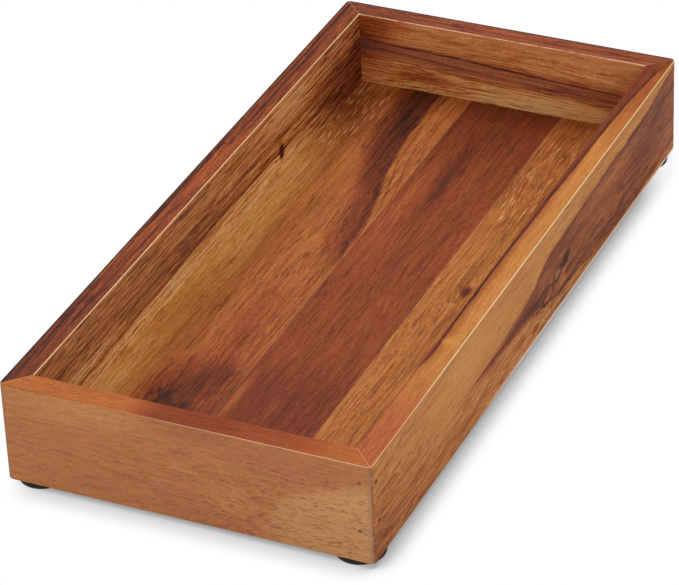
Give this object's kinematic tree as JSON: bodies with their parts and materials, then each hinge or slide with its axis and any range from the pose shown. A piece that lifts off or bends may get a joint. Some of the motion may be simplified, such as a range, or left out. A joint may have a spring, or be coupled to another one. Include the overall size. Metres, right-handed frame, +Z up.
{
  "type": "valet tray",
  "caption": "Long shallow wooden valet tray with mitred rails round an edge-glued floor, on small rubber feet.",
  "frame": {"origin": "centre of the footprint, on the surface that the feet stand on", "axes": "+Y along the tray's length towards its back rail, +X along its width towards its right rail, +Z up out of the open top"},
  "size_m": [0.152, 0.32, 0.0458],
  "materials": {
    "rail_front_wood": "satin oiled acacia, orange-tan",
    "rail_right_wood": "satin oiled acacia, golden-tan with dark heartwood",
    "rail_back_wood": "satin oiled acacia, golden-brown below a dark red top",
    "rail_left_wood": "satin oiled acacia, golden-brown below a dark red top",
    "stave_left_wood": "satin oiled acacia, golden with a dark curving streak",
    "stave_middle_wood": "satin oiled acacia, red-brown",
    "stave_right_wood": "satin oiled acacia, golden-tan",
    "tenon_wood": "raw beech",
    "foot_rubber": "matte black moulded rubber",
    "foot_adhesive": "dull pressure-sensitive adhesive"
  },
  "bodies": {
    "root": {"rail_front": "rail_front_wood", "rail_right": "rail_right_wood", "rail_back": "rail_back_wood", "rail_left": "rail_left_wood", "floor_stave_left": "stave_left_wood", "floor_stave_middle": "stave_middle_wood", "floor_stave_right": "stave_right_wood", "loose_tenon_front_left": "tenon_wood", "loose_tenon_front_right": "tenon_wood", "loose_tenon_back_right": "tenon_wood", "loose_tenon_back_left": "tenon_wood", "foot_front_left": "foot_rubber", "foot_front_right": "foot_rubber", "foot_back_right": "foot_rubber", "foot_back_left": "foot_rubber", "foot_adhesive_front_left": "foot_adhesive", "foot_adhesive_front_right": "foot_adhesive", "foot_adhesive_back_right": "foot_adhesive", "foot_adhesive_back_left": "foot_adhesive"}
  },
  "joints": []
}
